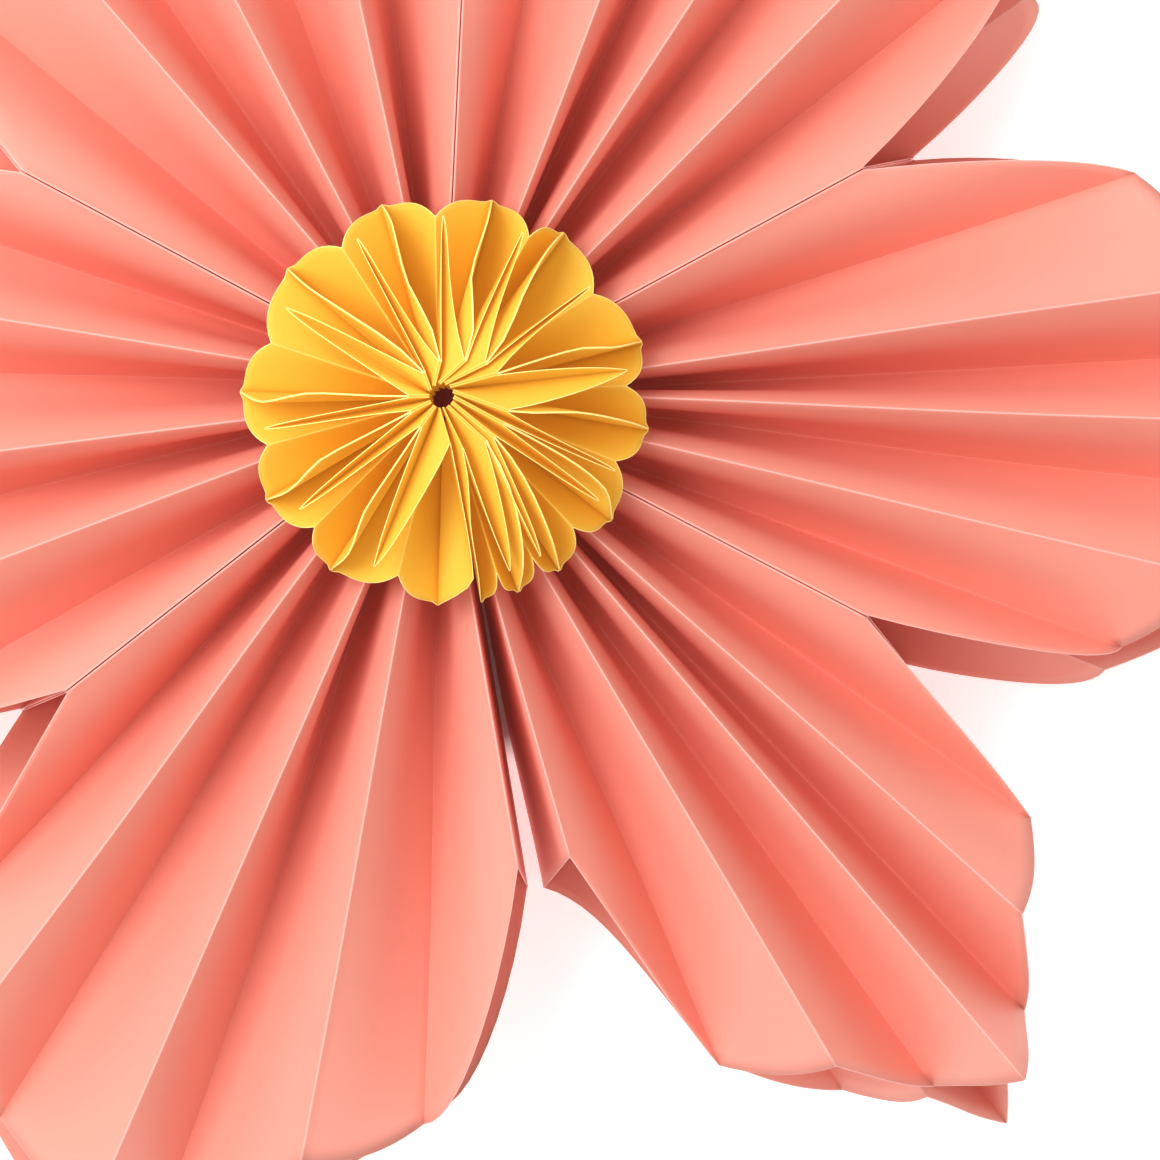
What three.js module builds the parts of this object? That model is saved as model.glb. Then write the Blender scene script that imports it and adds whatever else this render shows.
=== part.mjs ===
// A giant paper flower. Six coral petals and thirteen yellow centre cells, each folded
// from one sheet of card into a pleated tube that is open at its outer end. Every cell
// has two flat walls, which are glued face to face with its neighbours' walls, and a
// bellows of pleats along its front and its back. The yellow ring is glued on the front
// of the petals' hub. Both rings are left unglued at one place, near azimuth 281.
//
// Millimetres, +Z up. The flower lies on its back with its front up, and the origin is
// its axis on the surface that it lies on. Azimuths are degrees from +X towards +Y.

import * as THREE from 'three';

// Card and glue
const CARD = 0.3;
const GLUE_GAP = 0.3;

// Coral petals
const PETAL_HEIGHT = 82;
const PETAL_PANEL = 39;
const PETAL_HUB_RADIUS = 7;
const PETAL_FRONT_REACH = [133, 204, 216, 239, 249.5];
const PETAL_BACK_REACH = [154, 204, 231, 242, 266];
const PETAL_ROWS = 4;
const PETAL_PANEL_STEPS = 3;
const PETAL_COLOUR = 0xf4826a;

// A panel never opens flatter than this part of its width, seen from the front.
const PETAL_FLATTEST = 0.92;
const CENTRE_FLATTEST = 0.9;

// Azimuths of each petal's nine folds at their cut ends: wall, valley, ridge, valley, the
// ridge at the tip, and the same again to the other wall. The bulges say how far the cut
// edge of each panel bulges out between its folds. A free wall has a back reach of its own.
const PETALS = [
  {
    name: 'petal_right',
    front: [332.5, 339.9, 346.8, 353.7, 358.2, 363.3, 368.2, 378, 388.4],
    back: [330.3, 337.8, 344.6, 351.5, 356, 361.3, 366.6, 377.3, 388],
    frontBulge: [16, 4, 2, 1, 1, 2, 4, 9],
    backBulge: [18, 5, 3, 2, 2, 3, 5, 11],
  },
  {
    name: 'petal_upper_right',
    front: [28.4, 38.7, 45, 53.3, 57.6, 64.9, 68.6, 78.8, 87.3],
    back: [28, 34.9, 42.2, 50.6, 55.2, 62.6, 66.4, 76.6, 85.1],
    frontBulge: [18, 4, 2, 1, 1, 2, 4, 8],
    backBulge: [18, 5, 3, 2, 2, 3, 5, 8],
  },
  {
    name: 'petal_upper_left',
    front: [87.3, 97.5, 102, 110.6, 117.6, 125, 130.6, 140.6, 151.9],
    back: [85.1, 95.3, 99.8, 108.4, 115.4, 122.8, 128.4, 138.4, 149.7],
    frontBulge: [8, 4, 2, 1, 1, 2, 4, 8],
    backBulge: [8, 5, 3, 2, 2, 3, 5, 8],
  },
  {
    name: 'petal_left',
    front: [151.9, 161, 170.3, 177, 187.1, 192.2, 200.3, 209.3, 218.1],
    back: [149.7, 158.8, 168.1, 174.8, 184.9, 190, 198.1, 206.8, 215.4],
    frontBulge: [8, 4, 2, 1, 1, 2, 4, 4],
    backBulge: [8, 5, 3, 2, 2, 3, 5, 8],
  },
  {
    name: 'petal_lower_left',
    front: [218.1, 226.1, 233, 238.2, 246.7, 250.9, 259.5, 268.4, 279.3],
    back: [215.4, 223.6, 230.8, 236.2, 245.1, 249.7, 258.7, 268, 279.3],
    frontBulge: [4, 4, 2, 1, 1, 2, 4, 17],
    backBulge: [8, 5, 3, 2, 2, 3, 5, 20],
    lastBackReach: 143,
  },
  {
    name: 'petal_lower_right',
    front: [285.3, 292.4, 300.4, 305.4, 310.4, 313.5, 318.2, 324.4, 332.5],
    back: [280.9, 292, 299.8, 304.6, 307.8, 311.3, 316, 322.2, 330.3],
    frontBulge: [4, 2.4, 2, 0.4, 0.6, 2.5, 2.2, 4],
    backBulge: [2, 3, 3, 0, 0, 3, 3, 4],
    firstBackReach: 144,
  },
];

// Yellow centre. Each folded cell was cut through all its layers along one curve, from
// CENTRE_RIM at its back edge to the notch, where its front edge was cut short.
const CENTRE_HEIGHT = 41;
const CENTRE_PANEL = 19.5;
const CENTRE_CARD = 0.25;
const CENTRE_HUB_RADIUS = 3.3;
const CENTRE_HUB_START = 272;
const CENTRE_HUB_PITCH = 27.1;
const CENTRE_RIM = 57;
const CENTRE_NOTCH = 13.5;
const CENTRE_CUT_POWER = 2.7;
const CENTRE_SHIFT = new THREE.Vector3(0.7, -1.2, PETAL_HEIGHT + GLUE_GAP);
const CENTRE_ROWS = 3;
const CENTRE_COLOUR = 0xffb52e;

// The walls between the centre cells, in order round the ring from one free wall to the
// other: azimuth where the cut edge is at the wall's back fold, at half its height, at
// three quarters and at its front fold, and how far out that front fold reaches.
const CENTRE_WALLS = [
  { rim: 280.3, half: 282.3, upper: 283.5, notch: 292.3, reach: 15.5 },
  { rim: 291, half: 295.4, upper: 302, notch: 314, reach: 17.3 },
  { rim: 303.9, half: 306.5, upper: 311.4, notch: 321.8, reach: 18.1 },
  { rim: 324.3, half: 330.5, upper: 333.4, notch: 335.4, reach: 18.4 },
  { rim: 351.8, half: 352.6, upper: 353.4, notch: 346.7, reach: 18.5 },
  { rim: 376.4, half: 376.2, upper: 379.6, notch: 381.1, reach: 16.2 },
  { rim: 414.5, half: 414.8, upper: 412.4, notch: 395.7, reach: 14.8 },
  { rim: 436.7, half: 436, upper: 436.9, notch: 415.8, reach: 11.5 },
  { rim: 468, half: 466.5, upper: 467.3, notch: 452.5, reach: 9.3 },
  { rim: 500.2, half: 500.8, upper: 498.8, notch: 487.7, reach: 7.8 },
  { rim: 537.7, half: 541.3, upper: 538.4, notch: 541.6, reach: 9.1 },
  { rim: 569.3, half: 571, upper: 567, notch: 568.2, reach: 9.6 },
  { rim: 596.1, half: 598.6, upper: 595.5, notch: 596.3, reach: 10.4 },
  { rim: 627.9, half: 638.5, upper: 639.3, notch: 641.1, reach: 13.3 },
];

// The cells between those walls: azimuths of the cut ends of the back and front valleys.
const CENTRE_CELLS = [
  { back: 286.9, front: 291 },
  { back: 299, front: 301.5 },
  { back: 315, front: 326.5 },
  { back: 339.9, front: 337 },
  { back: 363.9, front: 368.5 },
  { back: 395.3, front: 397.1 },
  { back: 422.2, front: 424.3 },
  { back: 452.8, front: 450.1 },
  { back: 484.1, front: 478.4 },
  { back: 522.1, front: 510.3 },
  { back: 554.7, front: 549.8 },
  { back: 584.8, front: 577.8 },
  { back: 615.4, front: 607.7 },
];

// The heights of those azimuths, as parts of a wall's height.
const WALL_HEIGHTS = { rim: 0, half: 0.5, upper: 0.75, notch: 1 };

const FRONT = 1;
const BACK = -1;

// A point at a radius, an azimuth and a height.
function polar(radius, azimuth, height) {
  const angle = THREE.MathUtils.degToRad(azimuth);
  return new THREE.Vector3(radius * Math.cos(angle), radius * Math.sin(angle), height);
}

// A spoke: points along the card from the hub to a cut end, and the level direction
// across it, towards larger azimuths. heightAt gives the height at a radius.
function spoke(hub, end, rows, heightAt) {
  const points = [];
  for (let row = 0; row <= rows; row++) {
    const point = hub.clone().lerp(end, row / rows);
    if (heightAt) point.z = heightAt(Math.hypot(point.x, point.y));
    points.push(point);
  }
  const run = end.clone().sub(hub);
  return { points, across: new THREE.Vector3(-run.y, run.x, 0).normalize() };
}

// The spoke's points, moved across and up.
function shifted(line, sideways, up) {
  return line.points.map((point) => {
    const moved = point.clone().addScaledVector(line.across, sideways);
    moved.z += up;
    return moved;
  });
}

// The columns of one fold, before and after it as the section is walked round. `heading`
// is 1 where the walk goes towards larger azimuths. A ridge points out of the tube and
// has a flat crest outside, and a valley points into it and has its crest inside.
function foldColumns(line, side, heading, isRidge, card) {
  const inward = -side * card;
  const crest = isRidge ? 'outer' : 'inner';
  return [-heading, heading].map((turn) => {
    const column = { outer: shifted(line, 0, 0), inner: shifted(line, 0, inward) };
    column[crest] = shifted(line, turn * card, isRidge ? 0 : inward);
    return column;
  });
}

// Columns across a panel, between its two folds. Their ends bulge past the straight line
// between the folds' ends, which gives the cut edge its round.
function panelColumns(from, to, count, bulge) {
  const columns = [];
  for (let step = 1; step < count; step++) {
    const part = step / count;
    const rise = bulge * 4 * part * (1 - part);
    const blend = (first, last) =>
      first.map((point, row) => {
        const middle = point.clone().lerp(last[row], part);
        const out = new THREE.Vector3(middle.x, middle.y, 0).normalize();
        return middle.addScaledVector(out, rise * (row / (first.length - 1)) ** 2);
      });
    columns.push({
      outer: blend(from.outer, to.outer),
      inner: blend(from.inner, to.inner),
    });
  }
  return columns;
}

// One closed card tube from columns that go once round its section. Neighbouring columns
// are joined outside and inside, and the card's edge closes both ends. A quad is split
// along its shorter diagonal, so two glued walls are split alike.
function cardTube(columns) {
  const positions = [];
  const addTriangle = (a, b, c) => {
    if (a.equals(b) || b.equals(c) || c.equals(a)) return;
    positions.push(...a.toArray(), ...b.toArray(), ...c.toArray());
  };
  const addQuad = (a, b, c, d) => {
    if (a.distanceTo(c) < b.distanceTo(d)) {
      addTriangle(a, b, c);
      addTriangle(a, c, d);
    } else {
      addTriangle(b, c, d);
      addTriangle(b, d, a);
    }
  };
  columns.forEach((left, index) => {
    const right = columns[(index + 1) % columns.length];
    const last = left.outer.length - 1;
    for (let row = 0; row < last; row++) {
      addQuad(left.outer[row], left.outer[row + 1], right.outer[row + 1], right.outer[row]);
      addQuad(left.inner[row], right.inner[row], right.inner[row + 1], left.inner[row + 1]);
    }
    addQuad(left.outer[0], right.outer[0], right.inner[0], left.inner[0]);
    addQuad(left.outer[last], left.inner[last], right.inner[last], right.outer[last]);
  });
  const geometry = new THREE.BufferGeometry();
  geometry.setAttribute('position', new THREE.Float32BufferAttribute(positions, 3));
  geometry.computeVertexNormals();
  return geometry;
}

function cardMesh(name, geometry, colour) {
  const material = new THREE.MeshStandardMaterial({ color: colour, roughness: 0.85, metalness: 0 });
  const mesh = new THREE.Mesh(geometry, material);
  mesh.name = name;
  return mesh;
}

// How far out a petal's fold reaches.
function petalReach(petal, fold, side) {
  const last = petal.front.length - 1;
  if (side === BACK && fold === 0 && petal.firstBackReach) return petal.firstBackReach;
  if (side === BACK && fold === last && petal.lastBackReach) return petal.lastBackReach;
  const reaches = side === FRONT ? PETAL_FRONT_REACH : PETAL_BACK_REACH;
  return reaches[last / 2 - Math.abs(fold - last / 2)];
}

// One fold of a petal. The folds lie side by side in the flat stack at the hub, and a
// valley sinks as deep as the width of its panels lets it at each radius.
function petalFold(petal, fold, side) {
  const last = petal.front.length - 1;
  const azimuths = side === FRONT ? petal.front : petal.back;
  const ridgeHeight = side === FRONT ? PETAL_HEIGHT : 0;
  const hubAzimuth = THREE.MathUtils.lerp(petal.front[0], petal.front[last], fold / last);
  const hub = polar(PETAL_HUB_RADIUS, hubAzimuth, ridgeHeight);
  const end = polar(petalReach(petal, fold, side), azimuths[fold], ridgeHeight);
  if (fold % 2 === 0) return spoke(hub, end, PETAL_ROWS);
  const pitch = THREE.MathUtils.degToRad((azimuths[fold + 1] - azimuths[fold - 1]) / 2);
  return spoke(hub, end, PETAL_ROWS, (radius) => {
    const width = Math.min(radius * pitch, PETAL_FLATTEST * PETAL_PANEL);
    return ridgeHeight - side * Math.sqrt(PETAL_PANEL ** 2 - width ** 2);
  });
}

// A petal's first and last folds are at its walls, half the glue gap in from the seam.
function movedFromSeam(line, fold, last, card) {
  if (fold > 0 && fold < last) return line;
  const sideways = (fold === 0 ? 1 : -1) * (GLUE_GAP / 2 + card);
  return { points: shifted(line, sideways, 0), across: line.across };
}

function petalMesh(petal) {
  const last = petal.front.length - 1;
  const columns = [];
  const addBellows = (side, heading, bulges) => {
    let previous = null;
    for (let step = 0; step <= last; step++) {
      const fold = heading > 0 ? step : last - step;
      const line = movedFromSeam(petalFold(petal, fold, side), fold, last, CARD);
      const [before, after] = foldColumns(line, side, heading, fold % 2 === 0, CARD);
      if (previous) {
        const bulge = bulges[heading > 0 ? fold - 1 : fold];
        columns.push(...panelColumns(previous, before, PETAL_PANEL_STEPS, bulge));
      }
      columns.push(before, after);
      previous = after;
    }
  };
  addBellows(FRONT, 1, petal.frontBulge);
  addBellows(BACK, -1, petal.backBulge);
  return cardMesh(petal.name, cardTube(columns), PETAL_COLOUR);
}

// How far out the cut lies at a height on the folded cell, 0 at its back edge and 1 at
// its front edge.
function centreCut(height, notchReach) {
  return notchReach + (CENTRE_RIM - notchReach) * (1 - height ** CENTRE_CUT_POWER);
}

// A spoke of a wall of the centre ring, at one of the heights that CENTRE_WALLS gives.
function centreWallSpoke(index, height) {
  const wall = CENTRE_WALLS[index];
  const level = WALL_HEIGHTS[height] * CENTRE_HEIGHT;
  const hubAzimuth = CENTRE_HUB_START + index * CENTRE_HUB_PITCH;
  const hub = polar(CENTRE_HUB_RADIUS, hubAzimuth, level);
  const end = polar(centreCut(WALL_HEIGHTS[height], wall.reach), wall[height], level);
  return spoke(hub, end, CENTRE_ROWS);
}

// A spoke of a gusset of the centre ring, from one of its walls to its valley. The
// valley is half way up the folded cell, and a gusset panel's part 0 is at the wall.
function centreGussetSpoke(cellIndex, wallIndex, side, part) {
  const cell = CENTRE_CELLS[cellIndex];
  const wall = CENTRE_WALLS[wallIndex];
  const folded = side === FRONT ? 1 - part / 2 : part / 2;
  const reach = centreCut(folded, side === FRONT ? wall.reach : CENTRE_NOTCH);
  const wallAzimuth = side === FRONT ? wall.notch : wall.rim;
  const valleyAzimuth = side === FRONT ? cell.front : cell.back;
  const wallHub = CENTRE_HUB_START + wallIndex * CENTRE_HUB_PITCH;
  const valleyHub = CENTRE_HUB_START + (cellIndex + 0.5) * CENTRE_HUB_PITCH;
  const edge = side === FRONT ? CENTRE_HEIGHT : 0;
  const halfGap = side === FRONT ? 0 : Math.abs(valleyAzimuth - wallAzimuth);
  const halfWidth = reach * THREE.MathUtils.degToRad(halfGap);
  const sink = Math.sqrt(CENTRE_PANEL ** 2 - Math.min(halfWidth, CENTRE_FLATTEST * CENTRE_PANEL) ** 2);
  const lerp = THREE.MathUtils.lerp;
  const hub = polar(CENTRE_HUB_RADIUS, lerp(wallHub, valleyHub, part), edge - side * CENTRE_PANEL * part);
  const end = polar(reach, lerp(wallAzimuth, valleyAzimuth, part), edge - side * sink * part);
  return spoke(hub, end, CENTRE_ROWS);
}

// A wall's columns from one fold to the other. `toCell` is 1 where the cell lies on the
// side of larger azimuths.
function centreWallColumns(index, toCell, heights) {
  const face = toCell * (GLUE_GAP / 2);
  return heights.map((height) => {
    const line = centreWallSpoke(index, height);
    return { outer: shifted(line, face, 0), inner: shifted(line, face + toCell * CENTRE_CARD, 0) };
  });
}

function centreCorner(index, toCell, side) {
  const line = centreWallSpoke(index, side === FRONT ? 'notch' : 'rim');
  return { points: shifted(line, toCell * (GLUE_GAP / 2 + CENTRE_CARD), 0), across: line.across };
}

// A gusset's columns, walked from one wall to the other, with both corners.
function centreGusset(cell, side, heading) {
  const walls = heading > 0 ? [cell, cell + 1] : [cell + 1, cell];
  const corner = (wall) => {
    const line = centreCorner(wall, wall === cell ? 1 : -1, side);
    return foldColumns(line, side, heading, true, CENTRE_CARD);
  };
  const valleyLine = centreGussetSpoke(cell, walls[0], side, 1);
  const oppositeLine = centreGussetSpoke(cell, walls[1], side, 1);
  const middle = {
    points: valleyLine.points.map((point, row) => point.clone().lerp(oppositeLine.points[row], 0.5)),
    across: valleyLine.across,
  };
  const valley = foldColumns(middle, side, heading, false, CENTRE_CARD);
  const start = corner(walls[0]);
  const finish = corner(walls[1]);
  return [
    ...start,
    gussetMiddle(start[1], valley[0], centreGussetSpoke(cell, walls[0], side, 0.5)),
    ...valley,
    gussetMiddle(valley[1], finish[0], centreGussetSpoke(cell, walls[1], side, 0.5)),
    ...finish,
  ];
}

// The column half way across a gusset panel. It reaches as far out as the cut does there.
function gussetMiddle(from, to, cutSpoke) {
  const reach = (points) => Math.hypot(points.at(-1).x, points.at(-1).y);
  const halves = 2;
  const [column] = panelColumns(from, to, halves, 0);
  const extra = reach(cutSpoke.points) - reach(column.outer);
  return panelColumns(from, to, halves, extra)[0];
}

function centreMesh(cell) {
  const columns = [
    ...centreGusset(cell, FRONT, 1),
    ...centreWallColumns(cell + 1, -1, ['upper', 'half']),
    ...centreGusset(cell, BACK, -1),
    ...centreWallColumns(cell, 1, ['half', 'upper']),
  ];
  const mesh = cardMesh(`centre_cell_${cell + 1}`, cardTube(columns), CENTRE_COLOUR);
  mesh.position.copy(CENTRE_SHIFT);
  return mesh;
}

const petals = new THREE.Group();
PETALS.forEach((petal) => petals.add(petalMesh(petal)));

const centre = new THREE.Group();
CENTRE_CELLS.forEach((cell, index) => centre.add(centreMesh(index)));

const flower = new THREE.Group();
flower.add(petals, centre);

export default flower;
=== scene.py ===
import math

import bpy
import numpy as np
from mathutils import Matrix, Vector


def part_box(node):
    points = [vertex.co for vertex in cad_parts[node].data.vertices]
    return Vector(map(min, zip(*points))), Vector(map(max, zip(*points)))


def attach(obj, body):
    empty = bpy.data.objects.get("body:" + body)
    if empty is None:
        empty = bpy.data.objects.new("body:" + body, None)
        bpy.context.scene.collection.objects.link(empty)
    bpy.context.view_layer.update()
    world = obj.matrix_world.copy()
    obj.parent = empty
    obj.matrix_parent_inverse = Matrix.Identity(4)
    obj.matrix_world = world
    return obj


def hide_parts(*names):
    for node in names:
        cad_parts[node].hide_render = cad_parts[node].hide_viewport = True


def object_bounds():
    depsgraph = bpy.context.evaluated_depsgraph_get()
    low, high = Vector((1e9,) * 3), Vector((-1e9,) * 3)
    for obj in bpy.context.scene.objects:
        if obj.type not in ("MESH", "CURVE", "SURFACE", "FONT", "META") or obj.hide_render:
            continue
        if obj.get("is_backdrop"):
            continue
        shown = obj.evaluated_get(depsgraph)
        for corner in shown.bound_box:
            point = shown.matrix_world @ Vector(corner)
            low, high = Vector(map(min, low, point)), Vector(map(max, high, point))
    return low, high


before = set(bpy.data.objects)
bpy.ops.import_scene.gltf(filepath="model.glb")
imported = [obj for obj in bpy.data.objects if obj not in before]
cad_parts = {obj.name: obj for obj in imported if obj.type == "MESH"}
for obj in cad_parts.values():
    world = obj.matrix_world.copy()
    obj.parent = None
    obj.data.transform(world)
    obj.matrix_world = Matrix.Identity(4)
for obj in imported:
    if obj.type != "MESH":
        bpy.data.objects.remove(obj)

bl_info = {
    "name": "Giant paper flower",
    "version": (1, 0, 0),
    "blender": (4, 5, 0),
    "location": "View3D > Sidebar > Paper flower",
    "description": "Makes a large flower of pleated coral petals with a yellow folded centre",
    "category": "Add Mesh",
}

MM = 0.001
CAD_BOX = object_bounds()

FRONT, BACK = 1, -1

# `front` and `back` are the azimuths, in degrees from +X towards +Y, of each petal's nine
# folds at their cut ends: wall, valley, ridge, valley, the ridge at the tip, and the same
# again to the other wall. The rest is in millimetres. `bulge` and `back_bulge` are how far
# the cut edge of each panel bulges out between its two folds, and `swerve` is how far each
# front fold bends aside beside the yellow centre. At the open seam, `back_first` and
# `back_last` are the reach of the free walls' back folds, and `back_lean` is how far one of
# them leans on the other near the hub.
PETALS = {
    "petal_right": {
        "front": (332.5, 339.9, 346.8, 353.7, 358.2, 363.3, 368.2, 378.0, 388.4),
        "back": (330.3, 337.8, 344.6, 351.5, 356.0, 361.3, 366.6, 377.3, 388.0),
        "swerve": (0, 0.2, 0.5, 1.9, 1.1, 0.5, -0.7, 0.7, 0),
        "bulge": (16, 4, 2, 1, 1, 2, 4, 9),
        "back_bulge": (12, 2, 3, 2, 2, 3, 5, 11),
    },
    "petal_upper_right": {
        "front": (28.4, 38.7, 45.0, 53.3, 57.6, 64.9, 68.6, 78.8, 87.3),
        "back": (28.0, 34.9, 42.2, 50.6, 55.2, 62.6, 66.4, 76.6, 85.1),
        "swerve": (0, 1.5, -0.5, 3.4, 0.9, 1.5, -1.2, 0.5, 0),
        "bulge": (18, 4, 2, 1, 1, 2, 4, 8),
        "back_bulge": (18, 5, 3, 2, 2, 3, 5, 8),
    },
    "petal_upper_left": {
        "front": (87.3, 97.5, 102.0, 110.6, 117.6, 125.0, 130.6, 140.6, 151.9),
        "back": (85.1, 95.3, 99.8, 108.4, 115.4, 122.8, 128.4, 138.4, 149.7),
        "swerve": (0, 1.7, -0.5, 0.3, 0, 0, -0.9, -0.4, 0),
        "bulge": (8, 4, 2, 1, 1, 2, 4, 8),
        "back_bulge": (8, 5, 3, 2, 2, 3, 5, 8),
    },
    "petal_left": {
        "front": (151.9, 161.0, 170.3, 177.0, 187.1, 192.2, 200.3, 209.3, 218.1),
        "back": (149.7, 158.8, 168.1, 174.8, 184.9, 190.0, 198.1, 206.8, 215.4),
        "swerve": (0, -1.2, -0.7, -2.7, 0, -2.0, -0.7, -0.7, 0),
        "bulge": (8, 4, 2, 1, 1, 2, 4, 4),
        "back_bulge": (8, 5, 3, 2, 2, 3, 5, 8),
    },
    "petal_lower_left": {
        "front": (218.1, 226.1, 233.0, 238.2, 246.7, 250.9, 259.5, 268.4, 279.3),
        "back": (215.4, 223.6, 230.8, 236.2, 245.1, 249.7, 258.7, 268.0, 279.3),
        "swerve": (0, -2.2, -1.7, -2.9, 0.3, -3.9, -1.0, -1.3, -0.7),
        "bulge": (4, 4, 2, 1, 1, 2, 4, 17),
        "back_bulge": (8, 5, 3, 2, 2, 3, 5, 20),
        "back_last": 143,
    },
    "petal_lower_right": {
        "front": (285.3, 292.4, 300.4, 305.4, 310.4, 313.5, 318.2, 324.4, 332.5),
        "back": (280.9, 292.0, 299.8, 304.6, 307.8, 311.3, 316.0, 322.2, 330.3),
        "swerve": (-1.0, -2.4, -0.4, -1.5, -0.2, -0.6, -1.2, -0.7, 0),
        "bulge": (4, 2.4, 2, 0.4, 0.6, 2.5, 2.2, 4),
        "back_bulge": (-9, 3, 3, 0, 0, 3, 3, 4),
        "back_first": 144,
        "back_lean": -1.7,
    },
}

# How far out the folds reach in millimetres, from the tip's ridge to the wall.
FRONT_REACH = (249.5, 239.0, 216.0, 204.0, 133.0)
BACK_REACH = (266.0, 242.0, 231.0, 204.0, 154.0)

# The walls between the centre cells, round the ring from one free wall to the other: the
# azimuth of the cut edge at the back fold, at half height, at three quarters and at the
# front fold, and the reach of that front fold in millimetres.
CENTRE_WALLS = (
    (280.0, 280.9, 281.8, 291.0, 15.5),
    (291.0, 295.4, 302.0, 314.0, 17.3),
    (303.9, 306.5, 311.4, 321.8, 18.1),
    (324.3, 330.5, 333.4, 335.4, 18.4),
    (351.8, 352.6, 353.4, 346.7, 18.5),
    (376.4, 376.2, 379.6, 381.1, 16.2),
    (414.5, 414.8, 412.4, 395.7, 14.8),
    (436.7, 436.0, 436.9, 415.8, 11.5),
    (468.0, 466.5, 467.3, 452.5, 9.3),
    (500.2, 500.8, 498.8, 487.7, 7.8),
    (537.7, 541.3, 538.4, 541.6, 9.1),
    (569.3, 571.0, 567.0, 568.2, 9.6),
    (596.1, 598.6, 595.5, 596.3, 10.4),
    (628.2, 639.5, 640.6, 641.1, 13.3),
)

# The azimuths of the cut ends of each centre cell's back valley and front valley, and how
# far the two panels of the front gusset are pinched together over that valley.
CENTRE_VALLEYS = (
    (286.9, 291.0, 0.15), (299.0, 301.5, 0.25), (315.0, 326.5, 0.4), (339.9, 337.0, 0.6),
    (363.9, 368.5, 0.1), (395.3, 397.1, 0.75), (422.2, 424.3, 0.55), (452.8, 450.1, 0.65),
    (484.1, 478.4, 0.65), (522.1, 510.3, 0.3), (554.7, 549.8, 0.5), (584.8, 577.8, 0.35),
    (615.4, 607.7, 0.2),
)


class PaperFlowerSizes(bpy.types.PropertyGroup):
    """Sizes of the flower."""
    card: bpy.props.FloatProperty(
        name="Petal card", description="Thickness of the coral card",
        default=0.3 * MM, unit="LENGTH")
    glue_gap: bpy.props.FloatProperty(
        name="Glue gap", description="Space between two glued walls",
        default=0.3 * MM, unit="LENGTH")
    petal_height: bpy.props.FloatProperty(
        name="Petal height", description="From the back folds to the front folds of a petal",
        default=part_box("petal_right")[1][2], unit="LENGTH")
    petal_panel: bpy.props.FloatProperty(
        name="Pleat panel", description="Width of one petal pleat panel, fold to fold",
        default=39 * MM, unit="LENGTH")
    petal_hub: bpy.props.FloatProperty(
        name="Petal hub radius", description="Radius of the hole inside the ring of petals",
        default=7 * MM, unit="LENGTH")
    panel_bow: bpy.props.FloatProperty(
        name="Panel bow",
        description="How far a petal's pleat panel bows out near a ridge and in near a valley",
        default=1.3 * MM, unit="LENGTH")
    centre_card: bpy.props.FloatProperty(
        name="Centre card", description="Thickness of the yellow card",
        default=0.2 * MM, unit="LENGTH")
    centre_height: bpy.props.FloatProperty(
        name="Centre height", description="From the back folds to the front folds of the yellow cells",
        default=41 * MM, unit="LENGTH")
    centre_panel: bpy.props.FloatProperty(
        name="Gusset panel", description="Width of one gusset panel of a yellow cell",
        default=19.5 * MM, unit="LENGTH")
    centre_hub: bpy.props.FloatProperty(
        name="Centre hub radius", description="Radius of the hole in the yellow centre",
        default=3.3 * MM, unit="LENGTH")
    centre_glue_gap: bpy.props.FloatProperty(
        name="Centre glue gap", description="Space between two glued walls of the yellow cells",
        default=0.04 * MM, unit="LENGTH")
    centre_rim: bpy.props.FloatProperty(
        name="Centre rim", description="How far out the yellow cells reach",
        default=57 * MM, unit="LENGTH")


class PaperFlowerColours(bpy.types.PropertyGroup):
    """Colours of the two cards and of the floor."""
    coral: bpy.props.FloatVectorProperty(
        name="Coral card", description="Colour of the petals' card", subtype="COLOR", size=3,
        min=0, max=1, default=(0.825, 0.302, 0.230))
    # Pale where a fold or a cut has broken the card; on a ridge this pale line is partly a painted
    # highlight.
    coral_edge_and_highlight: bpy.props.FloatVectorProperty(
        name="Coral folds",
        description="Colour of the card where a fold or a cut has broken its surface",
        subtype="COLOR", size=3, min=0, max=1, default=(0.95, 0.56, 0.50))
    yellow: bpy.props.FloatVectorProperty(
        name="Yellow card", description="Colour of the centre's card", subtype="COLOR", size=3,
        min=0, max=1, default=(0.81, 0.475, 0.05))
    # Also the pale lines on the yellow ridges, which are partly a painted highlight.
    yellow_edge_and_highlight: bpy.props.FloatVectorProperty(
        name="Yellow cut edge", description="Colour of the centre card's cut edges",
        subtype="COLOR", size=3, min=0, max=1, default=(1.0, 0.76, 0.24))
    floor: bpy.props.FloatVectorProperty(
        name="Floor", description="Colour of the floor", subtype="COLOR", size=3,
        min=0, max=1, default=(0.92, 0.92, 0.92))


# ---------------------------------------------------------------- folded card

def polar(radius, azimuth, height):
    """A point at a radius, an azimuth in degrees and a height."""
    angle = math.radians(azimuth)
    return np.array((radius * math.cos(angle), radius * math.sin(angle), height))


def smooth_step(low, high, value):
    """A smooth rise from 0 at `low` to 1 at `high`."""
    part = np.clip((value - low) / (high - low), 0, 1)
    return part * part * (3 - 2 * part)


class Spoke:
    """Points along the card from the hub to a cut end, and the level direction across it."""

    def __init__(self, points, across):
        self.points = points
        self.across = across

    @classmethod
    def between(cls, hub, end, rows, height_at=None):
        """A spoke from hub to end, straight unless `height_at` gives its height at a radius."""
        along = np.linspace(0, 1, rows + 1)[:, None]
        points = hub + (end - hub) * along
        if height_at:
            points[:, 2] = height_at(np.hypot(points[:, 0], points[:, 1]))
        run = (end - hub) / math.hypot(end[0] - hub[0], end[1] - hub[1])
        return cls(points, np.array((-run[1], run[0], 0.0)))

    def moved(self, sideways, up=0.0):
        return Spoke(self.points + self.across * sideways + np.array((0, 0, up)), self.across)


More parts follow.
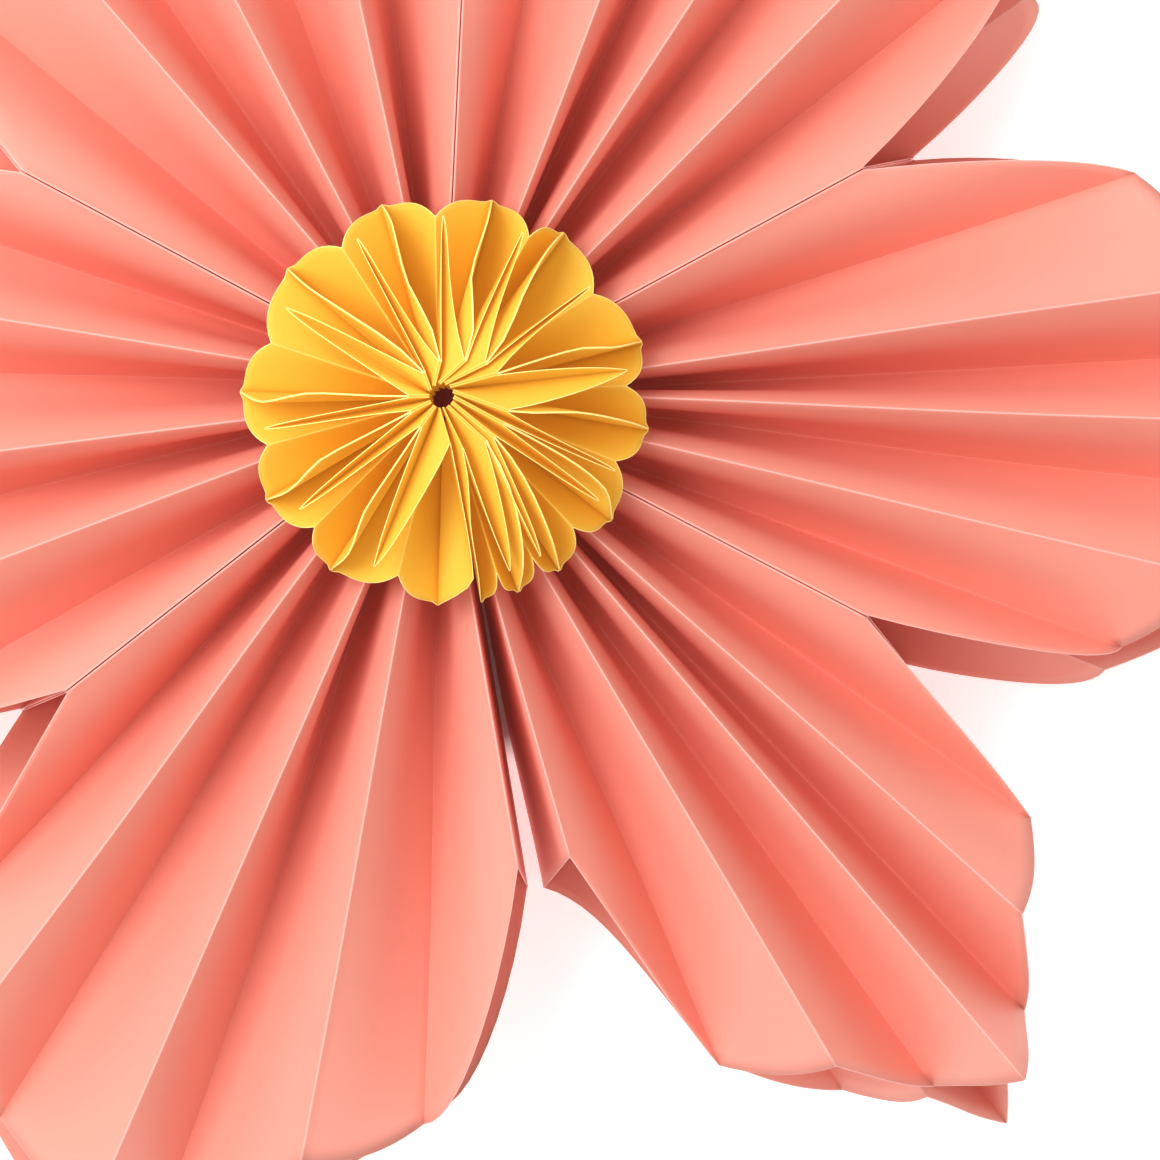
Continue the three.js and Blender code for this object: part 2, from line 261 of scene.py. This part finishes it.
class Column:
    """One line of the card's outside and inside, with its distance from ridge and valley."""

    def __init__(self, outer, inner, ridge, valley):
        self.outer = outer
        self.inner = inner
        self.ridge = ridge
        self.valley = valley


# The distance that stands for no ridge, or no valley, in sight.
FAR = 1.0
# One side of a fold is rounded in these turns, and the other side by this share of that.
FOLD_TURNS = np.radians((-70, -35, 0, 35, 70))
FOLD_INSIDE = 0.1


def fold_columns(line, side, heading, is_ridge, card, radius):
    """The rounded columns of one fold, in the order that the section is walked."""
    columns = []
    for turn in FOLD_TURNS * heading:
        out, drop = radius * math.sin(turn), radius * (1 - math.cos(turn))
        if is_ridge:
            outer = line.moved(out, -side * drop).points
            inner = line.moved(out * FOLD_INSIDE, -side * (card + drop * FOLD_INSIDE)).points
        else:
            outer = line.moved(out * FOLD_INSIDE, side * drop * FOLD_INSIDE).points
            inner = line.moved(out, side * (drop - card)).points
        here = np.full(len(outer), abs(out))
        far = np.full(len(outer), FAR)
        columns.append(Column(outer, inner, *((here, far) if is_ridge else (far, here))))
    return columns


def panel_columns(first, last, steps, bulge, bow):
    """Columns across one panel. It bows across its width and bulges at its cut edge."""
    rows = len(first.outer)
    along = np.linspace(0, 1, rows)[:, None]
    span = last.outer - first.outer
    width = np.linalg.norm(span, axis=1)
    run = np.gradient(0.5 * (first.outer + last.outer), axis=0)
    normal = np.cross(run, span)
    normal /= np.maximum(np.linalg.norm(normal, axis=1), 1e-12)[:, None]
    first_is_ridge = first.ridge[0] < FAR
    last_is_ridge = last.ridge[0] < FAR
    columns = []
    for step in range(1, steps):
        part = step / steps
        middle_out = first.outer + span * part
        outward = np.gradient(middle_out, axis=0)
        outward /= np.hypot(outward[:, 0], outward[:, 1])[:, None]
        arch = 4 * part * (1 - part)
        move = outward * bulge * arch * along ** 2 + normal * bow(part, along)
        inner = first.inner + (last.inner - first.inner) * part + move
        ridge, valley = np.full(rows, FAR), np.full(rows, FAR)
        folds = ((first_is_ridge, width * part), (last_is_ridge, width * (1 - part)))
        for is_ridge, distance in folds:
            if is_ridge:
                ridge = np.minimum(ridge, distance)
            else:
                valley = np.minimum(valley, distance)
        columns.append(Column(middle_out + move, inner, ridge, valley))
    return columns


def tube_faces(count, rows):
    """The faces of a closed tube: its outside, its inside, and its hub and cut ends last."""
    index = np.arange(2 * count * rows).reshape(2, count, rows)
    after = np.roll(index, -1, axis=1)

    def quads(a, b, c, d):
        return np.stack((a.ravel(), b.ravel(), c.ravel(), d.ravel()), axis=1)

    return np.concatenate((
        quads(index[0, :, :-1], index[0, :, 1:], after[0, :, 1:], after[0, :, :-1]),
        quads(index[1, :, :-1], after[1, :, :-1], after[1, :, 1:], index[1, :, 1:]),
        quads(index[0, :, 0], after[0, :, 0], after[1, :, 0], index[1, :, 0]),
        quads(index[0, :, -1], index[1, :, -1], after[1, :, -1], after[0, :, -1]),
    ))


def add_distances(mesh, columns, outer):
    """Stores on each point how far it is from a ridge, from a valley and from the cut end."""
    ridge = np.array([column.ridge for column in columns])
    valley = np.array([column.valley for column in columns])
    steps = np.linalg.norm(np.diff(outer, axis=1), axis=2)
    to_cut = np.cumsum(steps[:, ::-1], axis=1)[:, ::-1]
    to_cut = np.concatenate((to_cut, np.zeros((len(columns), 1))), axis=1)
    # A ridge is a valley on the inside of the card, and the other way round.
    values = {"ridge": (ridge, valley), "valley": (valley, ridge), "cut": (to_cut, to_cut)}
    for attribute, sides in values.items():
        layer = mesh.attributes.new(attribute, "FLOAT", "POINT")
        both = np.concatenate([side.ravel() for side in sides])
        layer.data.foreach_set("value", both.astype(np.float32))


def card_mesh(name, columns, material):
    """One closed tube of card from columns that go once round its section."""
    rows, count = len(columns[0].outer), len(columns)
    outer = np.array([column.outer for column in columns])
    inner = np.array([column.inner for column in columns])
    vertices = np.concatenate((outer.reshape(-1, 3), inner.reshape(-1, 3)))
    faces = tube_faces(count, rows)
    mesh = bpy.data.meshes.new(name)
    mesh.from_pydata(vertices.tolist(), [], faces.tolist())
    smooth = np.ones(len(faces), dtype=bool)
    smooth[-2 * count:] = False
    mesh.polygons.foreach_set("use_smooth", smooth)
    add_distances(mesh, columns, outer)
    mesh.materials.append(material)
    mesh.update()
    piece = bpy.data.objects.new(name, mesh)
    bpy.context.scene.collection.objects.link(piece)
    return piece


def claim(piece, node):
    """Fixes a piece in the frame in place of the plain node that it shows."""
    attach(piece, "root")
    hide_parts(node)


# ---------------------------------------------------------------- petals

PETAL_ROWS = 40
PETAL_STEPS = 12
PETAL_FOLD_RADIUS = 0.3 * MM
# A panel opens no further than this share of its width.
PETAL_FLATTEST = 0.92
# The radii where a fold's swerve comes in and goes out, and where a wall's lean goes out.
SWERVE_IN = (8 * MM, 50 * MM)
SWERVE_OUT = (55 * MM, 170 * MM)
LEAN_OUT = (85 * MM, 145 * MM)


def sideways_bend(line, amount, rise, fall):
    """Bends a spoke aside by an amount in millimetres, between two ranges of radius."""
    radius = np.hypot(line.points[:, 0], line.points[:, 1])
    bend = smooth_step(*rise, radius) * (1 - smooth_step(*fall, radius))
    line.points += line.across * (amount * MM * bend)[:, None]


def petal_fold(sizes, petal, fold, side):
    """One fold of a petal's front or back pleats, from the flat stack at the hub outwards."""
    front = petal["front"]
    azimuths = front if side == FRONT else petal["back"]
    last = len(front) - 1
    reach = (FRONT_REACH if side == FRONT else BACK_REACH)[abs(fold - last // 2)]
    if side == BACK and fold == 0:
        reach = petal.get("back_first", reach)
    if side == BACK and fold == last:
        reach = petal.get("back_last", reach)
    level = sizes.petal_height if side == FRONT else 0.0
    hub = polar(sizes.petal_hub, front[0] + (front[last] - front[0]) * fold / last, level)
    end = polar(reach * MM, azimuths[fold], level)
    height_at = None
    if fold % 2:
        pitch = math.radians(azimuths[fold + 1] - azimuths[fold - 1]) / 2

        def height_at(radius):
            width = np.minimum(radius * pitch, PETAL_FLATTEST * sizes.petal_panel)
            return level - side * np.sqrt(sizes.petal_panel ** 2 - width ** 2)

    line = Spoke.between(hub, end, PETAL_ROWS, height_at)
    if side == FRONT:
        sideways_bend(line, petal["swerve"][fold], SWERVE_IN, SWERVE_OUT)
    elif fold == 0:
        sideways_bend(line, petal.get("back_lean", 0), SWERVE_IN, LEAN_OUT)
    return line


# The spring of a panel at its cut end as a share of the whole, how fast it falls to that,
# the belly of the cut end, and how soon both come in after the hub.
SPRING_AT_CUT = 0.25
SPRING_POWER = 1.5
BELLY = 0.5
PETAL_BOW_RISE = 6


def petal_bow(sizes, from_ridge):
    """The card springs open at its folds, so a panel bows out near its ridge and in near
    its valley."""
    def bow(part, along):
        from_crest = part if from_ridge else 1 - part
        strength = SPRING_AT_CUT + (1 - SPRING_AT_CUT) * (1 - along) ** SPRING_POWER
        spring = sizes.panel_bow * strength * math.sin(2 * math.pi * from_crest)
        belly = BELLY * sizes.panel_bow * along * math.sin(math.pi * from_crest)
        return (spring + belly) * np.minimum(1, along * PETAL_BOW_RISE)
    return bow


def petal_columns(sizes, petal):
    """Columns once round a petal: its front pleats, then its back pleats the other way."""
    last = len(petal["front"]) - 1
    columns = []
    for side, heading, bulges in ((FRONT, 1, petal["bulge"]), (BACK, -1, petal["back_bulge"])):
        order = range(last + 1) if heading > 0 else range(last, -1, -1)
        previous = None
        for fold in order:
            line = petal_fold(sizes, petal, fold, side)
            if fold in (0, last):
                inset = sizes.glue_gap / 2 + PETAL_FOLD_RADIUS
                line = line.moved(inset if fold == 0 else -inset)
            is_ridge = fold % 2 == 0
            rounded = fold_columns(line, side, heading, is_ridge, sizes.card, PETAL_FOLD_RADIUS)
            if previous:
                bow = petal_bow(sizes, not is_ridge)
                bulge = bulges[fold - 1 if heading > 0 else fold] * MM
                columns += panel_columns(previous, rounded[0], PETAL_STEPS, bulge, bow)
            columns += rounded
            previous = rounded[-1]
    return columns


def make_petal(sizes, name, petal, material):
    """Makes one petal in place of its plain node."""
    piece = card_mesh(name + "_card", petal_columns(sizes, petal), material)
    claim(piece, name)


# ---------------------------------------------------------------- yellow centre

CENTRE_ROWS = 24
CENTRE_WALL_STEPS = 14
CENTRE_GUSSET_STEPS = 10
CENTRE_FOLD_RADIUS = 0.25 * MM
# Where the cells start round the hub and how far apart they are there, in degrees.
CENTRE_HUB_START = 272.0
CENTRE_HUB_PITCH = 27.1
# The cut's shape: where it would meet the front for the back gussets, and how it gets there.
CENTRE_NOTCH_REACH = 13.5 * MM
CENTRE_CUT_POWER = 2.7
# The heights on the folded cell, from 0 at its back to 1, that CENTRE_WALLS gives.
WALL_HEIGHTS = (0, 0.5, 0.75, 1)
# How deep the front valley starts at the hub, and how far a back one opens, in panels.
CENTRE_HUB_SINK = 0.35
CENTRE_FLATTEST = 0.9
# How far gusset panels bow out in front and behind, and how soon after the hub.
GUSSET_BOW = {FRONT: -0.5 * MM, BACK: 0.9 * MM}
GUSSET_BOW_RISE = 3
# How the pinch over a front valley grows from the crest, fades at the valley and
# grows from the hub to the cut end.
PINCH_RISE = 1.4
PINCH_FADE = 0.3
PINCH_POWER = 0.7
# The tip that a wall's back fold makes in the rim, and its width in panels.
RIM_TIP = 1.3 * MM
RIM_TIP_WIDTH = 0.08
# The centre was glued on a little beside the petals' axis.
CENTRE_SHIFT = np.array((0.7, -1.2, 0.0)) * MM


def centre_cut(sizes, height, notch_reach):
    """How far out the cut lies at a height on the folded cell, from 0 at its back to 1."""
    return notch_reach + (sizes.centre_rim - notch_reach) * (1 - height ** CENTRE_CUT_POWER)


def hub_azimuth(place):
    """The azimuth at the hub of a wall, or between two walls."""
    return CENTRE_HUB_START + place * CENTRE_HUB_PITCH


def smooth_curve(place, places, values):
    """A smooth curve through a few values that doesn't overshoot them."""
    steps, rises = np.diff(places), np.diff(values)
    slopes = rises / steps
    tangents = np.zeros(len(values))
    tangents[0], tangents[-1] = slopes[0], slopes[-1]
    for knot in range(1, len(values) - 1):
        if slopes[knot - 1] * slopes[knot] > 0:
            tangents[knot] = 2 / (1 / slopes[knot - 1] + 1 / slopes[knot])
    knot = min(int(np.searchsorted(places, place, side="right")) - 1, len(steps) - 1)
    part = (place - places[knot]) / steps[knot]
    near_end = (1 + 2 * part) * (1 - part) ** 2 * values[knot]
    near_end += part * (1 - part) ** 2 * steps[knot] * tangents[knot]
    far_end = part ** 2 * (3 - 2 * part) * values[knot + 1]
    far_end += part ** 2 * (part - 1) * steps[knot] * tangents[knot + 1]
    return near_end + far_end


def wall_spoke(sizes, index, height):
    """The line of a wall at a height on the folded cell, from the hub to the cut."""
    *azimuths, reach = CENTRE_WALLS[index]
    cuts = [known ** CENTRE_CUT_POWER for known in WALL_HEIGHTS]
    azimuth = smooth_curve(height ** CENTRE_CUT_POWER, cuts, azimuths)
    level = height * sizes.centre_height
    hub = polar(sizes.centre_hub, hub_azimuth(index), level)
    end = polar(centre_cut(sizes, height, reach * MM), azimuth, level)
    return Spoke.between(hub, end, CENTRE_ROWS)


def valley_spoke(sizes, cell, side):
    """The valley of a cell's front or back gusset, half way up the folded cell."""
    azimuth = CENTRE_VALLEYS[cell][1 if side == FRONT else 0]
    notch = (CENTRE_WALLS[cell][4] + CENTRE_WALLS[cell + 1][4]) / 2 * MM
    reach = centre_cut(sizes, 0.5, notch if side == FRONT else CENTRE_NOTCH_REACH)
    level = sizes.centre_height if side == FRONT else 0.0
    panel = sizes.centre_panel
    hub_sink = panel * (CENTRE_HUB_SINK if side == FRONT else 1)
    hub = polar(sizes.centre_hub, hub_azimuth(cell + 0.5), level - side * hub_sink)
    sink = panel
    if side == BACK:
        span = math.radians(CENTRE_WALLS[cell + 1][0] - CENTRE_WALLS[cell][0]) / 2
        sink = math.sqrt(panel ** 2 - min(reach * span, CENTRE_FLATTEST * panel) ** 2)
    end = polar(reach, azimuth, level - side * sink)
    return Spoke.between(hub, end, CENTRE_ROWS)


def gusset_columns(sizes, cell, side, heading):
    """A gusset from one wall to the other, with both of its corner folds."""
    walls = (cell, cell + 1) if heading > 0 else (cell + 1, cell)
    card, radius = sizes.centre_card, CENTRE_FOLD_RADIUS
    corners = []
    for wall in walls:
        line = wall_spoke(sizes, wall, 1.0 if side == FRONT else 0.0)
        inset = sizes.centre_glue_gap / 2 + radius
        line = line.moved(inset if wall == cell else -inset)
        corners.append(fold_columns(line, side, heading, True, card, radius))
    valley = fold_columns(valley_spoke(sizes, cell, side), side, heading, False, card, radius)
    down = gusset_panel(sizes, corners[0][-1], valley[0], cell, walls[0], side, True)
    up = gusset_panel(sizes, valley[-1], corners[1][0], cell, walls[1], side, False)
    return corners[0] + down + valley + up + corners[1]


def pinch_panel(column, valley, pinch, from_crest):
    """Draws a column of a front gusset in over its valley, more towards the cut end."""
    along = np.linspace(0, 1, len(column.outer))
    rise = math.sin(math.pi * min(1, from_crest * PINCH_RISE) / 2)
    close = pinch * rise * (1 - from_crest) ** PINCH_FADE * along ** PINCH_POWER
    for points, line in ((column.outer, valley.outer), (column.inner, valley.inner)):
        points[:, :2] += (line - points)[:, :2] * close[:, None]


def stretch_to(column, reach):
    """Lengthens or shortens a column so that it ends at a radius."""
    for points in (column.outer, column.inner):
        end = math.hypot(points[-1, 0], points[-1, 1])
        along = np.linspace(0, 1, len(points))[:, None]
        outward = points * (1, 1, 0)
        outward /= np.linalg.norm(outward, axis=1)[:, None]
        points += outward * (reach - end) * along


def gusset_panel(sizes, first, last, cell, wall, side, from_wall):
    """One gusset panel. The height on the folded cell says where the cut ends each column."""
    def bow(part, along):
        return GUSSET_BOW[side] * math.sin(math.pi * part) * np.minimum(1, along * GUSSET_BOW_RISE)

    columns = panel_columns(first, last, CENTRE_GUSSET_STEPS, 0.0, bow)
    for step, column in enumerate(columns, 1):
        part = step / CENTRE_GUSSET_STEPS
        from_crest = part if from_wall else 1 - part
        if side == FRONT:
            pinch_panel(column, last if from_wall else first, CENTRE_VALLEYS[cell][2], from_crest)
            reach = centre_cut(sizes, 1 - from_crest / 2, CENTRE_WALLS[wall][4] * MM)
        else:
            reach = centre_cut(sizes, from_crest / 2, CENTRE_NOTCH_REACH)
            past_tip = 1 - math.exp(-from_crest / RIM_TIP_WIDTH)
            reach -= RIM_TIP * past_tip * (1 - from_crest)
        stretch_to(column, reach)
    return columns


def wall_columns(sizes, index, to_cell, downwards):
    """A wall's columns between its folds, on the side of the cell that it belongs to."""
    heights = [step / CENTRE_WALL_STEPS for step in range(1, CENTRE_WALL_STEPS)]
    if downwards:
        heights.reverse()
    columns = []
    for height in heights:
        line = wall_spoke(sizes, index, height)
        face = to_cell * sizes.centre_glue_gap / 2
        outer = line.moved(face).points
        inner = line.moved(face + to_cell * sizes.centre_card).points
        ridge = np.full(len(outer), min(height, 1 - height) * sizes.centre_height)
        columns.append(Column(outer, inner, ridge, np.full(len(outer), FAR)))
    return columns


def make_centre_cell(sizes, cell, material):
    """Makes one yellow cell in place of its plain node."""
    columns = gusset_columns(sizes, cell, FRONT, 1)
    columns += wall_columns(sizes, cell + 1, -1, True)
    columns += gusset_columns(sizes, cell, BACK, -1)
    columns += wall_columns(sizes, cell, 1, False)
    node = f"centre_cell_{cell + 1}"
    lift = np.array((0, 0, sizes.petal_height + sizes.glue_gap)) + CENTRE_SHIFT
    for column in columns:
        column.outer = column.outer + lift
        column.inner = column.inner + lift
    piece = card_mesh(node + "_card", columns, material)
    claim(piece, node)


# ---------------------------------------------------------------- materials

class Value:
    """A socket that holds a number, so that shader maths reads as an expression."""

    def __init__(self, tree, socket):
        self.tree = tree
        self.socket = socket

    def maths(self, operation, other):
        node = self.tree.add("ShaderNodeMath", {"operation": operation}, {0: self, 1: other})
        return Value(self.tree, node.outputs[0])

    def __add__(self, other):
        return self.maths("ADD", other)

    __radd__ = __add__

    def __mul__(self, other):
        return self.maths("MULTIPLY", other)

    __rmul__ = __mul__

    def __sub__(self, other):
        return self.maths("SUBTRACT", other)

    def __rsub__(self, other):
        return (self * -1.0) + other

    def clamped(self):
        node = self.tree.add("ShaderNodeClamp", {}, {"Value": self})
        return Value(self.tree, node.outputs[0])


class Tree:
    """A material's nodes."""

    def __init__(self, name):
        self.material = bpy.data.materials.new(name)
        self.material.use_nodes = True
        self.nodes = self.material.node_tree.nodes
        self.links = self.material.node_tree.links
        self.nodes.clear()

    def feed(self, socket, item):
        """Links a value or socket to a socket, or sets a plain number or colour on it."""
        if isinstance(item, Value):
            self.links.new(item.socket, socket)
        elif isinstance(item, bpy.types.NodeSocket):
            self.links.new(item, socket)
        else:
            socket.default_value = item

    def add(self, kind, settings, inputs=None):
        """Any node, from its type, its settings and what its sockets get."""
        node = self.nodes.new(kind)
        for setting, value in settings.items():
            setattr(node, setting, value)
        for socket, item in (inputs or {}).items():
            self.feed(node.inputs[socket], item)
        return node

    def place(self):
        """Where a point lies on the object."""
        return self.add("ShaderNodeTexCoord", {}).outputs["Object"]

    def attribute(self, name):
        """A number stored on the mesh's points."""
        node = self.add("ShaderNodeAttribute", {"attribute_type": "GEOMETRY", "attribute_name": name})
        return Value(self, node.outputs["Fac"])

    def noise(self, size, detail):
        """Noise whose blotches are about `size` metres across."""
        node = self.add("ShaderNodeTexNoise", {}, {
            "Vector": self.place(), "Scale": 1 / size, "Detail": detail})
        return Value(self, node.outputs[0])

    def mix(self, factor, first, second):
        """A mix of two colours. The numbers are the places of the colour sockets."""
        node = self.add("ShaderNodeMix", {"data_type": "RGBA"}, {0: factor, 6: first, 7: second})
        return node.outputs[2]


def near(distance, width):
    """1 at a line, falling to 0 at the given width from it."""
    return (1 - distance * (1 / width)).clamped()


def opaque(colour, fades=(1, 1, 1)):
    """A colour, faded channel by channel, with its alpha."""
    return tuple(channel * fade for channel, fade in zip(colour, fades)) + (1,)


# How wide the pale lines of folds and cuts are, a ridge's line being partly a painted highlight, and
# how far the painted shade in a groove reaches from its valley.
RIDGE_LINE = 0.55 * MM
VALLEY_LINE = 0.45 * MM
CUT_LINE = 0.3 * MM
GROOVE = 3.5 * MM
# A valley's line is fainter than a ridge's, and worn away in places.
VALLEY_SHARE = 0.6
VALLEY_WEAR = 0.3
# The sizes of the card's fibres, clouds and blotches, and how clouds and blotches mix.
FIBRES = 0.5 * MM
CLOUDS = 24 * MM
BLOTCHES = 3 * MM
CLOUD_SHARE = 0.6
BLOTCH_SHARE = 0.4
CLOUD_FADE = (0.93, 0.93, 0.93)
# Painted shade: the colour, channel by channel, that the card darkens towards in a groove.
PAINTED_GROOVE_SHADE = (0.72, 0.55, 0.35)


def card_material(name, colour, edge_and_highlight_colour, fold_line, cut_line, roughness, glow, painted_groove_shade):
    """Matt card with pale folds and cuts, where a ridge's pale line is partly a painted highlight.
    `glow` stands in for light that passes through the thin card, as a painted glow, and the last
    argument is how dark the painted shade in its grooves is."""
    tree = Tree(name)
    fibres = tree.noise(FIBRES, 3.0)
    cloud = tree.noise(CLOUDS, 2.0)
    blotch = tree.noise(BLOTCHES, 3.0)
    mottle = (cloud * CLOUD_SHARE + blotch * BLOTCH_SHARE).clamped()
    surface = tree.mix(mottle, opaque(colour, CLOUD_FADE), opaque(colour))
    to_valley = tree.attribute("valley")
    # Painted shade: the card darkens towards a valley, as if shade gathers in the groove.
    groove_shade = near(to_valley, GROOVE)
    surface = tree.mix(groove_shade * groove_shade * painted_groove_shade, surface, opaque(colour, PAINTED_GROOVE_SHADE))
    # Pale ridge lines: partly card broken at the fold, partly a painted highlight.
    ridge = near(tree.attribute("ridge"), RIDGE_LINE) * fold_line
    valley = near(to_valley, VALLEY_LINE) * (fold_line * VALLEY_SHARE) * (blotch + VALLEY_WEAR)
    cut = near(tree.attribute("cut"), CUT_LINE) * cut_line
    shade = tree.mix((ridge + valley + cut).clamped(), surface, opaque(edge_and_highlight_colour))
    bump = tree.add("ShaderNodeBump", {}, {
        "Strength": 0.12, "Distance": 0.05 * MM, "Height": fibres})
    shader = tree.add("ShaderNodeBsdfPrincipled", {}, {
        "Base Color": shade, "Normal": bump.outputs[0], "Specular IOR Level": 0.25,
        "Emission Color": shade, "Emission Strength": glow,
        "Roughness": blotch * 0.08 + roughness})
    tree.add("ShaderNodeOutputMaterial", {}, {"Surface": shader.outputs[0]})
    return tree.material


def coral_card(colours):
    """The petals' card."""
    return card_material(
        "coral_card", colours.coral, colours.coral_edge_and_highlight,
        fold_line=0.42, cut_line=0.5, roughness=0.55, glow=0.02, painted_groove_shade=0.0)


def yellow_card(colours):
    """The centre's card, thinner and brighter, with a stronger painted glow and painted shade in its
    grooves.
    """
    return card_material(
        "yellow_card", colours.yellow, colours.yellow_edge_and_highlight,
        fold_line=0.2, cut_line=1.0, roughness=0.5, glow=0.13, painted_groove_shade=0.65)


# The floor glows a little from here outwards, which keeps it pale, and not beneath the
# flower's middle, which keeps the hub hole and the open seam dark.
FLOOR_SHADE_RADIUS = 98 * MM
FLOOR_SHADE_BLEND = 8 * MM
FLOOR_FADE = (0.97, 0.97, 0.97)


def floor_material(colour):
    """Pale paint that glows as painted light, except beneath the flower's middle."""
    tree = Tree("floor_paint_and_glow")
    speckle = tree.noise(8 * MM, 2.0)
    shade = tree.mix(speckle * 0.15, opaque(colour), opaque(colour, FLOOR_FADE))
    length = tree.add("ShaderNodeVectorMath", {"operation": "LENGTH"}, {"Vector": tree.place()})
    from_axis = Value(tree, length.outputs["Value"])
    outside = ((from_axis - FLOOR_SHADE_RADIUS) * (1 / FLOOR_SHADE_BLEND)).clamped()
    glow = tree.mix(outside, (0, 0, 0, 1), shade)
    shader = tree.add("ShaderNodeBsdfPrincipled", {}, {
        "Base Color": shade, "Roughness": 0.9, "Specular IOR Level": 0.1,
        "Emission Color": glow, "Emission Strength": 0.55})
    tree.add("ShaderNodeOutputMaterial", {}, {"Surface": shader.outputs[0]})
    return tree.material


# ---------------------------------------------------------------- stage

FLOOR_HALF = 3.0
# The world's even light, and a large soft lamp to the left of the flower.
WORLD_STRENGTH = 0.84
KEY_SIZE = 1.0
KEY_POWER = 25.0
KEY_PLACE = (-0.7, 0.35, 1.5)
KEY_TARGET = (0, 0, 0.05)
# Light bounces many times in the deep pleats.
BOUNCES = 16
ALL_BOUNCES = 24
# The camera looks straight down, beside the flower's axis.
CAMERA_OFFSET = (38.1 * MM, -51.1 * MM)
CAMERA_DISTANCE = 1.5
CAMERA_REACH = 20.0
VIEW_WIDTH = 322.2 * MM
SENSOR = 36.0


def make_floor(colours):
    """A pale floor under the flower, with a painted glow outside the flower's middle."""
    mesh = bpy.data.meshes.new("floor")
    corners = [(x * FLOOR_HALF, y * FLOOR_HALF, 0) for x, y in ((-1, -1), (1, -1), (1, 1), (-1, 1))]
    mesh.from_pydata(corners, [], [(0, 1, 2, 3)])
    mesh.materials.append(floor_material(colours.floor))
    floor = bpy.data.objects.new("floor", mesh)
    bpy.context.scene.collection.objects.link(floor)
    floor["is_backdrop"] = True


def make_lights():
    """Even studio light, and one soft lamp."""
    scene = bpy.context.scene
    world = bpy.data.worlds.new("studio")
    world.use_nodes = True
    background = world.node_tree.nodes["Background"]
    background.inputs["Color"].default_value = (1, 1, 1, 1)
    background.inputs["Strength"].default_value = WORLD_STRENGTH
    scene.world = world
    light = bpy.data.lights.new("key", "AREA")
    light.shape = "SQUARE"
    light.size = KEY_SIZE
    light.energy = KEY_POWER
    lamp = bpy.data.objects.new("key", light)
    lamp.location = KEY_PLACE
    direction = np.array(KEY_TARGET) - np.array(KEY_PLACE)
    pitch = math.atan2(math.hypot(direction[0], direction[1]), -direction[2])
    turn = math.atan2(direction[1], direction[0]) - math.pi / 2
    lamp.rotation_euler = (pitch, 0, turn)
    scene.collection.objects.link(lamp)
    scene.cycles.diffuse_bounces = BOUNCES
    scene.cycles.max_bounces = ALL_BOUNCES


def make_camera(sizes):
    """A camera above the flower's front."""
    scene = bpy.context.scene
    camera = bpy.data.cameras.new("camera")
    camera.sensor_width = SENSOR
    camera.lens = SENSOR * CAMERA_DISTANCE / VIEW_WIDTH
    camera.clip_end = CAMERA_REACH
    eye = bpy.data.objects.new("camera", camera)
    eye.location = (*CAMERA_OFFSET, sizes.petal_height + CAMERA_DISTANCE)
    scene.collection.objects.link(eye)
    scene.camera = eye
    scene.view_settings.view_transform = "Standard"


# ---------------------------------------------------------------- operators

class PAPERFLOWER_OT_petals(bpy.types.Operator):
    """Make the six pleated coral petals"""
    bl_idname = "paper_flower.petals"
    bl_label = "Petals"

    def execute(self, context):
        sizes, colours = context.scene.paper_flower_sizes, context.scene.paper_flower_colours
        coral = coral_card(colours)
        for name, petal in PETALS.items():
            make_petal(sizes, name, petal, coral)
        return {"FINISHED"}


class PAPERFLOWER_OT_centre(bpy.types.Operator):
    """Make the ring of yellow cells in the middle of the flower"""
    bl_idname = "paper_flower.centre"
    bl_label = "Yellow centre"

    def execute(self, context):
        sizes, colours = context.scene.paper_flower_sizes, context.scene.paper_flower_colours
        yellow = yellow_card(colours)
        for cell in range(len(CENTRE_VALLEYS)):
            make_centre_cell(sizes, cell, yellow)
        return {"FINISHED"}


class PAPERFLOWER_OT_stage(bpy.types.Operator):
    """Make the floor, the lights and the camera"""
    bl_idname = "paper_flower.stage"
    bl_label = "Stage"

    def execute(self, context):
        make_floor(context.scene.paper_flower_colours)
        make_lights()
        make_camera(context.scene.paper_flower_sizes)
        return {"FINISHED"}


class PAPERFLOWER_PT_panel(bpy.types.Panel):
    """Lists the flower's sizes, colours and operators"""
    bl_idname = "PAPERFLOWER_PT_panel"
    bl_label = "Paper flower"
    bl_space_type = "VIEW_3D"
    bl_region_type = "UI"
    bl_category = "Paper flower"

    def draw(self, context):
        for group in (context.scene.paper_flower_sizes, context.scene.paper_flower_colours):
            for name in group.__annotations__:
                self.layout.prop(group, name)
        for operator in ("petals", "centre", "stage"):
            self.layout.operator("paper_flower." + operator)


CLASSES = (
    PaperFlowerSizes, PaperFlowerColours, PAPERFLOWER_OT_petals, PAPERFLOWER_OT_centre,
    PAPERFLOWER_OT_stage, PAPERFLOWER_PT_panel,
)


def register():
    for item in CLASSES:
        bpy.utils.register_class(item)
    bpy.types.Scene.paper_flower_sizes = bpy.props.PointerProperty(type=PaperFlowerSizes)
    bpy.types.Scene.paper_flower_colours = bpy.props.PointerProperty(type=PaperFlowerColours)


def unregister():
    del bpy.types.Scene.paper_flower_colours
    del bpy.types.Scene.paper_flower_sizes
    for item in reversed(CLASSES):
        bpy.utils.unregister_class(item)


def main():
    register()
    bpy.ops.paper_flower.stage()
    bpy.ops.paper_flower.petals()
    bpy.ops.paper_flower.centre()
    boxes = {"cad": CAD_BOX, "visual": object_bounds()}
    plain = {name: [list(map(float, corner)) for corner in box] for name, box in boxes.items()}


if __name__ == "__main__":
    main()
